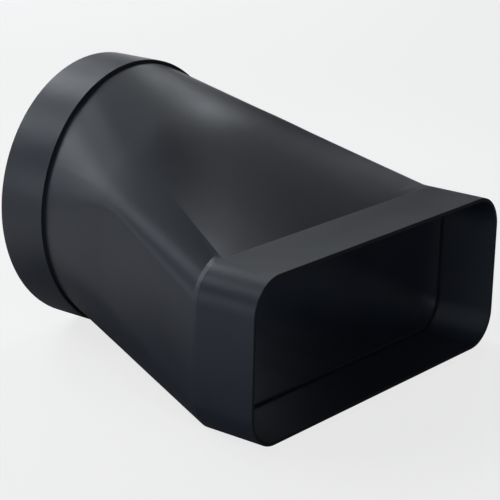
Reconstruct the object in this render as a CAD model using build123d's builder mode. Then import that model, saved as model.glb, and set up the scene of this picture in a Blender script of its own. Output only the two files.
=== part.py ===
from build123d import *
import math
import os

# Round-to-flat duct adapter, moulded in one piece.
# The air runs along Y: the flat mouth is at the -Y end, the round socket at the +Y end.
# The origin is under the middle of the part, on the plane that it rests on.

overall_length = 206.0
wall = 2.0  # the moulding's general thickness, seen in section

# Flat end, a rounded rectangle
flat_width = 222.0
flat_height = 89.0
flat_corner_radius = 19.4
flat_depth = 36.0
flat_stop_ledge = 1.2  # step at the inner end of the flat mouth

# Round end, a socket that goes over a round duct
pipe_diameter = 150.0
pipe_clearance = 0.3  # all round
collar_wall = 2.0
collar_length = 31.0
pipe_stop_thickness = 2.2  # floor of the socket, which stops the duct
pipe_stop_ledge = 2.0  # how far that floor stands in from the socket's wall

# Sloping bands that run from the flat end's upper corners to the shoulder's
band_start_radius = 26.0  # flatter than the flat end's corner, which gives the band its crease
band_run_in = 4.0  # length over which the flat end's corner turns into the band

# Shoulder, the section where the body's slope changes
shoulder_from_mouth = 117.0
shoulder_width = 174.0
shoulder_height = 133.6
shoulder_arch_width = 124.0  # the arched top, between the two bands
shoulder_arch_rise = 13.9
shoulder_ridge_reach = 9.4  # from the ridge down to where its rounding ends
shoulder_ridge_weight = 0.85  # how tightly the outline follows the ridge
shoulder_lower_radius = 46.4
crown_bend_reach = 14.0  # the bend over the top is rounded this far each way
side_bend_reach = 5.0  # the bend down the sides is tighter

crown_half_angle = 20.0  # half the arc of the round end that the arched top runs into
tangent_angle = 3.0  # half the arc of the round end that each flat side runs into
strips_per_bend = 6  # each curved stretch is lofted in this many strips
rim_edge_break = 0.3

# Sizes that follow
socket_radius = pipe_diameter / 2 + pipe_clearance
collar_radius = socket_radius + collar_wall
passage_radius = socket_radius - pipe_stop_ledge
body_round_radius = passage_radius + wall
axis_height = collar_radius  # the collar's lowest line is level with the flat end's underside

mouth_y = -overall_length / 2
flat_inner_y = mouth_y + flat_depth
shoulder_y = mouth_y + shoulder_from_mouth
round_end_y = overall_length / 2
collar_front_y = round_end_y - collar_length
socket_floor_y = collar_front_y + pipe_stop_thickness

# The underside runs straight from the flat end up to the round stretch of the body
round_underside = axis_height - body_round_radius
underside_share = (shoulder_y - flat_inner_y) / (collar_front_y - flat_inner_y)
shoulder_underside = round_underside * underside_share


def section_plane(y):
    """Plane across the air's way, with X to the right and Z up."""
    return Plane.XZ.offset(-y)


def flat_section(y, inset):
    """Outline of the flat end, moved in by the inset."""
    with BuildSketch(section_plane(y)) as section:
        with Locations((0, flat_height / 2)):
            RectangleRounded(
                flat_width - 2 * inset,
                flat_height - 2 * inset,
                flat_corner_radius - inset,
            )
    return section.sketch


# A body section is eight curves. Its left half is given by seven points from the top round:
# the crown's pull, the crease, the ridge's pull, the side's two ends, the lower corner's pull
# and the underside's end. A pull is the point where the tangents at a bend's two ends meet,
# and its weight says how closely the bend follows it.


def arc_pull(centre_z, radius, start_turn, end_turn):
    """Pull point and weight of an arc round the axis through x = 0 and centre_z."""
    middle = math.radians(start_turn + end_turn) / 2
    weight = math.cos(math.radians(end_turn - start_turn) / 2)
    reach = radius / weight
    return (reach * math.cos(middle), centre_z + reach * math.sin(middle)), weight


def flat_outline(inset, upper_radius):
    """Body section at the flat end, with its upper corners flattened to the upper radius."""
    side = flat_width / 2 - inset
    top = flat_height - inset
    radius = flat_corner_radius - inset
    half_turn = math.asin(radius * math.sqrt(0.5) / (upper_radius - inset))
    cut = radius * (1 - math.tan(half_turn)) / 2
    points = [
        (0, top),
        (radius - side, top),
        (cut - side, top - cut),
        (-side, top - radius),
        (-side, inset + radius),
        (-side, inset),
        (radius - side, inset),
    ]
    return points, (1, math.cos(half_turn), math.sqrt(0.5))


def shoulder_outline(inset):
    """Body section at the shoulder, as if the bend there were sharp."""
    side = shoulder_width / 2 - inset
    half_arch = shoulder_arch_width / 2
    half_turn = 2 * math.atan2(shoulder_arch_rise, half_arch)
    crease_x = half_arch - inset * math.sin(half_turn)
    crease_z = shoulder_height - shoulder_arch_rise - inset * math.cos(half_turn)
    slope = math.tan(half_turn)
    ridge_z = crease_z - (side - crease_x) * slope
    radius = shoulder_lower_radius - inset
    low = shoulder_underside + inset
    points = [
        (0, crease_z + crease_x * slope),
        (-crease_x, crease_z),
        (-side, ridge_z),
        (-side, ridge_z - shoulder_ridge_reach),
        (-side, low + radius),
        (-side, low),
        (radius - side, low),
    ]
    return points, (math.cos(half_turn), shoulder_ridge_weight, math.sqrt(0.5))


def round_outline(radius):
    """Body section at the round end, a circle."""
    turns = (90 + crown_half_angle, 180 - tangent_angle, 180 + tangent_angle, 270 - tangent_angle)
    ends = [
        (radius * math.cos(math.radians(turn)), axis_height + radius * math.sin(math.radians(turn)))
        for turn in turns
    ]
    crown, crown_weight = arc_pull(axis_height, radius, 180 - turns[0], turns[0])
    upper, upper_weight = arc_pull(axis_height, radius, turns[0], turns[1])
    lower, lower_weight = arc_pull(axis_height, radius, turns[2], turns[3])
    points = [crown, ends[0], upper, ends[1], ends[2], lower, ends[3]]
    return points, (crown_weight, upper_weight, lower_weight)


def along(y, at_flat, at_shoulder, at_round, reach):
    """Value at y on two straight runs that meet at the shoulder in a bend of the given reach."""
    first_slope = (at_shoulder - at_flat) / (shoulder_y - flat_inner_y)
    second_slope = (at_round - at_shoulder) / (collar_front_y - shoulder_y)
    offset = y - shoulder_y
    value = at_shoulder + offset * (first_slope if offset < 0 else second_slope)
    if abs(offset) < reach:
        value += (second_slope - first_slope) * (reach - abs(offset)) ** 2 / (4 * reach)
    return value


def bend_strips(start, pull, end, weight):
    """Bend from start to end as a row of edges, which keeps each lofted face narrow."""
    strips = []
    for number in range(strips_per_bend):
        near, far = number / strips_per_bend, (number + 1) / strips_per_bend
        controls, weights = [], []
        for first, second in ((near, near), (near, far), (far, far)):
            start_share = (1 - first) * (1 - second)
            pull_share = (first + second - 2 * first * second) * weight
            end_share = first * second
            total = start_share + pull_share + end_share
            controls.append((start * start_share + pull * pull_share + end * end_share) * (1 / total))
            weights.append(total)
        strips.append(Edge.make_bezier(*controls, weights=weights))
    return strips


def body_section(y, flat, shoulder, round_end):
    """Face across the body at y, between the outlines of its flat, shoulder and round ends."""
    left = [
        Vector(
            along(y, at_flat[0], at_shoulder[0], at_round[0], side_bend_reach),
            y,
            along(y, at_flat[1], at_shoulder[1], at_round[1], crown_bend_reach),
        )
        for at_flat, at_shoulder, at_round in zip(flat[0], shoulder[0], round_end[0])
    ]
    weights = [along(y, *ends, side_bend_reach) for ends in zip(flat[1], shoulder[1], round_end[1])]
    crown_weight, ridge_weight, corner_weight = weights
    crown, crease, ridge, side_top, side_low, corner, under = left
    right = [Vector(-point.X, point.Y, point.Z) for point in left]
    _, crease_r, ridge_r, side_top_r, side_low_r, corner_r, under_r = right
    edges = bend_strips(crease_r, crown, crease, crown_weight)
    edges += bend_strips(crease, ridge, side_top, ridge_weight)
    edges.append(Edge.make_line(side_top, side_low))
    edges += bend_strips(side_low, corner, under, corner_weight)
    edges.append(Edge.make_line(under, under_r))
    edges += bend_strips(under_r, corner_r, side_low_r, corner_weight)
    edges.append(Edge.make_line(side_low_r, side_top_r))
    edges += bend_strips(side_top_r, ridge_r, crease_r, ridge_weight)
    return Face(Wire(edges))


shoulder_steps = (-crown_bend_reach, -side_bend_reach, side_bend_reach, crown_bend_reach)
bend_stations = [shoulder_y + step for step in shoulder_steps]
inner_inset = wall + flat_stop_ledge

# Outside of the body, which starts with the flat end's true corners
start_outline = flat_outline(0, flat_corner_radius)
outside = (flat_outline(0, band_start_radius), shoulder_outline(0), round_outline(body_round_radius))
outside_stations = [flat_inner_y + band_run_in, *bend_stations, collar_front_y]
outside_sections = [body_section(flat_inner_y, start_outline, *outside[1:])]
outside_sections += [body_section(y, *outside) for y in outside_stations]

# Air's way inside it
inside = (
    flat_outline(inner_inset, band_start_radius),
    shoulder_outline(wall),
    round_outline(passage_radius),
)
inside_stations = [flat_inner_y, *bend_stations, collar_front_y]
inside_sections = [body_section(y, *inside) for y in inside_stations]

with BuildPart() as adapter:
    # Body outside: flat end to shoulder to round
    loft(outside_sections, ruled=True)

    # Straight stretch of the flat end
    extrude(flat_section(flat_inner_y, 0), amount=flat_depth)

    # Collar, which stands out from the body by a sharp step
    with BuildSketch(section_plane(round_end_y)):
        with Locations((0, axis_height)):
            Circle(collar_radius)
    extrude(amount=collar_length)

    # Air's way through the body
    loft(inside_sections, ruled=True, mode=Mode.SUBTRACT)

    # Mouth of the flat end, wider than the way behind it by the stop ledge
    extrude(flat_section(flat_inner_y, wall), amount=flat_depth, mode=Mode.SUBTRACT)

    # Socket for the round duct, and the hole in its floor
    with BuildSketch(section_plane(round_end_y)):
        with Locations((0, axis_height)):
            Circle(socket_radius)
    extrude(amount=round_end_y - socket_floor_y, mode=Mode.SUBTRACT)
    with BuildSketch(section_plane(round_end_y)):
        with Locations((0, axis_height)):
            Circle(passage_radius)
    extrude(amount=collar_length, mode=Mode.SUBTRACT)

    # Both open rims lose their sharp edges
    rims = adapter.edges().filter_by_position(Axis.Y, mouth_y, mouth_y)
    rims += adapter.edges().filter_by_position(Axis.Y, round_end_y, round_end_y)
    chamfer(rims, length=rim_edge_break)

adapter.part.label = "adapter_body"

os.makedirs("parts", exist_ok=True)
export_step(adapter.part, "parts/adapter_body.step")
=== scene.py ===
import bpy
import math
from mathutils import Matrix, Vector


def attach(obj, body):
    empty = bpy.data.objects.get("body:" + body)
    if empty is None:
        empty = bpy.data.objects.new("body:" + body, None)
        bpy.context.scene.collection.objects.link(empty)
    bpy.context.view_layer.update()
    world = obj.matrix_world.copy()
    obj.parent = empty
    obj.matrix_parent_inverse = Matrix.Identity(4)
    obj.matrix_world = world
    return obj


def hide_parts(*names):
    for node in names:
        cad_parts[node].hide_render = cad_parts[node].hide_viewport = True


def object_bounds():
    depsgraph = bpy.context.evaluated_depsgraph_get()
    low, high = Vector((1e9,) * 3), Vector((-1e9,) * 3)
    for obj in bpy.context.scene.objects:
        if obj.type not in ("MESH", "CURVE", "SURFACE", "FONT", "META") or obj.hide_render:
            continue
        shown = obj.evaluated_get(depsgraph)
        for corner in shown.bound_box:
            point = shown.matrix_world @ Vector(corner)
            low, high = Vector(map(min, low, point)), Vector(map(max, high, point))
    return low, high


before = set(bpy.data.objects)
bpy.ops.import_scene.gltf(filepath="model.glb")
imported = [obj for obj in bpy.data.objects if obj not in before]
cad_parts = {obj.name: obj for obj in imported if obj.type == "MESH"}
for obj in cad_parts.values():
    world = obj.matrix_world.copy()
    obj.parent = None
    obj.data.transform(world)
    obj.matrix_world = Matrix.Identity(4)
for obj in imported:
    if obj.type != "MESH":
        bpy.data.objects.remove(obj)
cadLow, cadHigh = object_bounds()
print("duct adapter: frame loaded")


# ---- helpers for node materials


def newMaterial(name):
    material = bpy.data.materials.new(name)
    material.use_nodes = True
    tree = material.node_tree
    tree.nodes.clear()
    return material, tree


def addNode(tree, kind, place, **sockets):
    node = tree.nodes.new(kind)
    node.location = place
    for name, value in sockets.items():
        node.inputs[name.replace("_", " ")].default_value = value
    return node


def addMath(tree, place, operation):
    node = addNode(tree, "ShaderNodeMath", place)
    node.operation = operation
    return node


def addColourMix(tree, place):
    node = addNode(tree, "ShaderNodeMix", place)
    node.data_type = "RGBA"
    ends = {socket.name: socket for socket in node.inputs if socket.type == "RGBA"}
    result = [socket for socket in node.outputs if socket.type == "RGBA"][0]
    return node.inputs["Factor"], ends["A"], ends["B"], result


def addRange(tree, place, fromSpan, toSpan):
    node = addNode(tree, "ShaderNodeMapRange", place)
    ends = ("From Min", "From Max", "To Min", "To Max")
    for name, value in zip(ends, (*fromSpan, *toSpan)):
        node.inputs[name].default_value = value
    return node


def addNoise(tree, place, where, scale, detail):
    noise = addNode(tree, "ShaderNodeTexNoise", place, Scale=scale, Detail=detail)
    tree.links.new(where.outputs["Object"], noise.inputs["Vector"])
    return noise.outputs["Fac"]


def addBump(tree, place, height, depth):
    bump = addNode(tree, "ShaderNodeBump", place, Strength=1.0, Distance=depth)
    tree.links.new(height, bump.inputs["Height"])
    return bump


plainWhite = (1.0, 1.0, 1.0, 1.0)


# ---- black moulded plastic

plastic = {
    "colour": (0.0072, 0.0098, 0.0165, 1.0),
    "colourPale": (0.0086, 0.0114, 0.0187, 1.0),
    "refraction": 1.5,
    "glossTint": (0.93, 0.96, 1.0, 1.0),
    "roughness": (0.39, 0.45),
    "mottleScale": 38.0,
    "mottleSpan": (0.3, 0.7),  # the noise's range over which the roughness changes
    "grainScale": 2600.0,
    "grainDepth": 0.00002,
    "waveScale": 24.0,
    "waveDepth": 0.00012,
    # painted shade: the colour of the end faces round the flat mouth, darker than the walls
    "endPaintedShade": (0.0035, 0.0042, 0.006, 1.0),
    "endRoughness": 0.85,
    "endFrom": -0.6,  # a face is an end face where its normal's Y is below this
}


def makePlastic(values):
    material, tree = newMaterial("mouldedBlackPlastic")
    out = addNode(tree, "ShaderNodeOutputMaterial", (700, 0))
    skin = addNode(tree, "ShaderNodeBsdfPrincipled", (400, 0), IOR=values["refraction"])
    skin.inputs["Specular Tint"].default_value = values["glossTint"]
    tree.links.new(skin.outputs["BSDF"], out.inputs["Surface"])
    where = addNode(tree, "ShaderNodeTexCoord", (-900, 0))

    # faint uneven gloss, as on a large moulding
    mottle = addNoise(tree, (-600, 200), where, values["mottleScale"], 4.0)
    gloss = addRange(tree, (-200, 100), values["mottleSpan"], values["roughness"])
    tree.links.new(mottle, gloss.inputs["Value"])
    byMottle, dark, pale, wallColour = addColourMix(tree, (-200, 350))
    dark.default_value, pale.default_value = values["colour"], values["colourPale"]
    tree.links.new(mottle, byMottle)

    # painted shade: the end faces, which point out of the flat mouth, get a darker colour
    # standing in for the line of shade round the mouth's rim; they are also duller than the
    # walls
    facing = addNode(tree, "ShaderNodeSeparateXYZ", (-600, 700))
    isEnd = addMath(tree, (-400, 700), "LESS_THAN")
    isEnd.inputs[1].default_value = values["endFrom"]
    tree.links.new(where.outputs["Normal"], facing.inputs["Vector"])
    tree.links.new(facing.outputs["Y"], isEnd.inputs[0])
    endGloss = addNode(tree, "ShaderNodeMix", (100, 100), B=values["endRoughness"])
    byShadedEnd, wall, paintedEndShade, colour = addColourMix(tree, (100, 350))
    paintedEndShade.default_value = values["endPaintedShade"]
    tree.links.new(isEnd.outputs["Value"], endGloss.inputs["Factor"])
    tree.links.new(isEnd.outputs["Value"], byShadedEnd)
    tree.links.new(gloss.outputs["Result"], endGloss.inputs["A"])
    tree.links.new(wallColour, wall)
    tree.links.new(endGloss.outputs["Result"], skin.inputs["Roughness"])
    tree.links.new(colour, skin.inputs["Base Color"])

    # fine mould texture over a slight waviness of the walls
    grain = addNoise(tree, (-600, -200), where, values["grainScale"], 2.0)
    wave = addNoise(tree, (-600, -450), where, values["waveScale"], 1.0)
    waveBump = addBump(tree, (-200, -450), wave, values["waveDepth"])
    grainBump = addBump(tree, (100, -250), grain, values["grainDepth"])
    tree.links.new(waveBump.outputs["Normal"], grainBump.inputs["Normal"])
    tree.links.new(grainBump.outputs["Normal"], skin.inputs["Normal"])
    return material


# ---- the moulding, a merged copy of the CAD body, so that light runs smoothly over its bends

moulding = {
    "mergeWithin": 0.000002,  # metres
    "sharpFrom": 9.5,  # degrees; creases and rims are sharper than this
}


def makeMoulding(values, material):
    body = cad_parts["adapter_body"]
    piece = bpy.data.objects.new("adapterMoulding", body.data.copy())
    bpy.context.collection.objects.link(piece)
    bpy.ops.object.select_all(action="DESELECT")
    piece.select_set(True)
    bpy.context.view_layer.objects.active = piece
    bpy.ops.object.mode_set(mode="EDIT")
    bpy.ops.mesh.select_all(action="SELECT")
    bpy.ops.mesh.remove_doubles(threshold=values["mergeWithin"])
    bpy.ops.mesh.customdata_custom_splitnormals_clear()
    bpy.ops.object.mode_set(mode="OBJECT")
    bpy.ops.object.shade_smooth_by_angle(angle=math.radians(values["sharpFrom"]))
    piece.data.materials.clear()
    piece.data.materials.append(material)
    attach(piece, "root")
    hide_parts("adapter_body")


makeMoulding(moulding, makePlastic(plastic))
print("duct adapter: moulding in black plastic")


# ---- floor and backdrop: near white to the camera, dark grey in the light it throws back

studio = {
    "floorSize": 12.0,
    "floorSeen": (0.95, 0.95, 0.95, 1.0),
    "floorBounce": (0.2, 0.2, 0.2, 1.0),
    "floorGlow": 0.75,  # share of plain white that the camera sees there
    # painted reflection: plain white on the floor that only the gloss sees, as pairs of distance
    # from the floor's middle and share; none next to the part, as painted shade under it
    "paintedReflectionPool": ((0.15, 0.0), (0.20, 0.20), (0.27, 0.36), (0.45, 0.50), (0.55, 0.0)),
    "paintedReflectionRear": (0.55, 1.6),  # gain on that at the two ends of the next line's span along Y
    "rearSpan": (0.0, 0.18),
    "worldStrength": 0.0,  # the world adds no light; the lamps light the part, with the floor's painted reflection in its gloss
}


# painted reflection: a ring of white glow on the floor that only glossy rays see, dark next to
# the part as painted shade and stronger towards the rear
def addPaintedReflectionPool(tree, values, rays):
    where = addNode(tree, "ShaderNodeTexCoord", (-1100, 500))
    away = addNode(tree, "ShaderNodeVectorMath", (-900, 500))
    away.operation = "LENGTH"
    pool = addNode(tree, "ShaderNodeValToRGB", (-700, 500))
    stops = pool.color_ramp.elements
    stops[0].position, stops[1].position = values["paintedReflectionPool"][0][0], values["paintedReflectionPool"][-1][0]
    for distance, glow in values["paintedReflectionPool"][1:-1]:
        stops.new(distance)
    for stop, (distance, glow) in zip(stops, values["paintedReflectionPool"]):
        stop.position, stop.color = distance, (glow, glow, glow, 1.0)
    along = addNode(tree, "ShaderNodeSeparateXYZ", (-900, 700))
    toRear = addRange(tree, (-700, 750), values["rearSpan"], values["paintedReflectionRear"])
    lit = addMath(tree, (-450, 650), "MULTIPLY")
    inGloss = addMath(tree, (-250, 550), "MULTIPLY")
    tree.links.new(where.outputs["Object"], away.inputs[0])
    tree.links.new(away.outputs["Value"], pool.inputs["Fac"])
    tree.links.new(where.outputs["Object"], along.inputs["Vector"])
    tree.links.new(along.outputs["Y"], toRear.inputs["Value"])
    tree.links.new(pool.outputs["Color"], lit.inputs[0])
    tree.links.new(toRear.outputs["Result"], lit.inputs[1])
    tree.links.new(lit.outputs["Value"], inGloss.inputs[0])
    tree.links.new(rays.outputs["Is Glossy Ray"], inGloss.inputs[1])
    return inGloss.outputs["Value"]


def makeFloor(values):
    bpy.ops.object.select_all(action="DESELECT")
    bpy.ops.mesh.primitive_plane_add(size=values["floorSize"], location=(0, 0, cadLow.z))
    floor = bpy.context.object
    floor.name = "studioFloor"
    material, tree = newMaterial("paleFloor")
    out = addNode(tree, "ShaderNodeOutputMaterial", (800, 0))
    rays = addNode(tree, "ShaderNodeLightPath", (-500, 300))
    bounce = addNode(tree, "ShaderNodeBsdfDiffuse", (-200, 100), Color=values["floorBounce"])
    seen = addNode(tree, "ShaderNodeBsdfDiffuse", (-200, -50), Color=values["floorSeen"])
    toCamera = addNode(tree, "ShaderNodeMixShader", (200, 50))
    tree.links.new(rays.outputs["Is Camera Ray"], toCamera.inputs["Fac"])
    tree.links.new(bounce.outputs["BSDF"], toCamera.inputs[1])
    tree.links.new(seen.outputs["BSDF"], toCamera.inputs[2])

    # plain white, in part for the camera, and in a pool for the gloss as a painted reflection on
    # the part
    white = addNode(tree, "ShaderNodeEmission", (200, -200), Color=plainWhite, Strength=1.0)
    inCamera = addMath(tree, (-200, 300), "MULTIPLY")
    inCamera.inputs[1].default_value = values["floorGlow"]
    share = addMath(tree, (50, 400), "ADD")
    mix = addNode(tree, "ShaderNodeMixShader", (500, 0))
    tree.links.new(rays.outputs["Is Camera Ray"], inCamera.inputs[0])
    tree.links.new(inCamera.outputs["Value"], share.inputs[0])
    tree.links.new(addPaintedReflectionPool(tree, values, rays), share.inputs[1])
    tree.links.new(share.outputs["Value"], mix.inputs["Fac"])
    tree.links.new(toCamera.outputs["Shader"], mix.inputs[1])
    tree.links.new(white.outputs["Emission"], mix.inputs[2])
    tree.links.new(mix.outputs["Shader"], out.inputs["Surface"])
    floor.data.materials.append(material)


def makeWorld(values):
    world = bpy.data.worlds.new("studioWorld")
    bpy.context.scene.world = world
    world.use_nodes = True
    tree = world.node_tree
    tree.nodes.clear()
    out = addNode(tree, "ShaderNodeOutputWorld", (600, 0))
    soft = addNode(tree, "ShaderNodeBackground", (0, 100), Color=plainWhite)
    soft.inputs["Strength"].default_value = values["worldStrength"]
    white = addNode(tree, "ShaderNodeBackground", (0, -100), Color=plainWhite, Strength=1.0)
    rays = addNode(tree, "ShaderNodeLightPath", (-200, 300))
    mix = addNode(tree, "ShaderNodeMixShader", (300, 0))
    tree.links.new(rays.outputs["Is Camera Ray"], mix.inputs["Fac"])
    tree.links.new(soft.outputs["Background"], mix.inputs[1])
    tree.links.new(white.outputs["Background"], mix.inputs[2])
    tree.links.new(mix.outputs["Shader"], out.inputs["Surface"])


makeFloor(studio)
makeWorld(studio)
print("duct adapter: floor and backdrop")


# ---- round soft boxes; azimuth runs from the flat mouth's side, as the camera's does

softBoxes = {
    "left": {"azimuth": -84, "elevation": 6, "distance": 2.0, "size": 0.6, "watts": 15.8},
    "front": {"azimuth": -30, "elevation": 18, "distance": 2.0, "size": 0.6, "watts": 8.0},
    "rearHigh": {"azimuth": 168, "elevation": 42, "distance": 2.0, "size": 0.6, "watts": 6.9},
    "rearRight": {"azimuth": 150, "elevation": 18, "distance": 2.0, "size": 0.6, "watts": 5.9},
    "rearLeft": {"azimuth": -144, "elevation": 42, "distance": 2.0, "size": 0.6, "watts": 4.1},
    "leftLow": {"azimuth": -132, "elevation": 6, "distance": 2.0, "size": 0.6, "watts": 2.7},
    "rearLow": {"azimuth": -156, "elevation": 6, "distance": 2.0, "size": 0.6, "watts": 1.7},
    "rightLow": {"azimuth": 132, "elevation": 6, "distance": 2.0, "size": 0.6, "watts": 1.2},
    "crown": {"azimuth": 112, "elevation": 36, "distance": 2.0, "size": 0.3, "watts": 2.1},
    "crownNear": {"azimuth": 125, "elevation": 42, "distance": 0.6, "size": 0.2, "watts": 0.18},
    "crownHigh": {"azimuth": 150, "elevation": 55, "distance": 0.6, "size": 0.2, "watts": 0.17},
    "rearNear": {"azimuth": -165, "elevation": 25, "distance": 0.6, "size": 0.25, "watts": 0.6},
    "rightNear": {"azimuth": 95, "elevation": 22, "distance": 0.6, "size": 0.2, "watts": 0.08},
}
lampTint = (0.925, 0.958, 1.0)
lampsAimAt = Vector((0, 0, 0.07))


def directionTo(azimuth, elevation):
    level = math.cos(elevation)
    return Vector((math.sin(azimuth) * level, -math.cos(azimuth) * level, math.sin(elevation)))


def addSoftBox(name, values, target):
    azimuth, elevation = math.radians(values["azimuth"]), math.radians(values["elevation"])
    away = directionTo(azimuth, elevation)
    bpy.ops.object.light_add(type="AREA", location=target + away * values["distance"])
    lamp = bpy.context.object
    lamp.name = "softBox_" + name
    lamp.data.shape = "DISK"
    lamp.data.size = values["size"]
    lamp.data.energy = values["watts"]
    lamp.data.color = lampTint
    lamp.rotation_euler = (-away).to_track_quat("-Z", "Y").to_euler()
    lamp.visible_camera = False


for name, values in softBoxes.items():
    addSoftBox(name, values, lampsAimAt)
print("duct adapter: soft boxes")


# ---- camera at the photograph's viewing angle

view = {
    "azimuth": -51.934,
    "elevation": 17.275,
    "roll": 1.462,
    "right": -0.070504,
    "up": 0.033991,
    "distance": 0.955275,
    "focal": 1819.394,  # in the photograph's pixels
    "photoWidth": 500,
    "sensor": 36.0,
    "aimedFrom": (0.0, -0.103, 0.0445),
}


def addCamera(values):
    a, e, r = (math.radians(values[key]) for key in ("azimuth", "elevation", "roll"))
    back = directionTo(a, e)
    right = Vector((math.cos(a), math.sin(a), 0))
    up = back.cross(right)
    turnedRight = right * math.cos(r) + up * math.sin(r)
    turnedUp = up * math.cos(r) - right * math.sin(r)
    place = Vector(values["aimedFrom"]) + turnedRight * values["right"] + turnedUp * values["up"]
    place += back * values["distance"]
    bpy.ops.object.camera_add()
    camera = bpy.context.object
    turn = Matrix((turnedRight, turnedUp, back)).transposed().to_4x4()
    camera.matrix_world = Matrix.Translation(place) @ turn
    camera.data.sensor_width = values["sensor"]
    camera.data.lens = values["focal"] / values["photoWidth"] * values["sensor"]
    bpy.context.scene.camera = camera


addCamera(view)
bpy.context.scene.view_settings.view_transform = "Standard"
print("duct adapter: camera set")
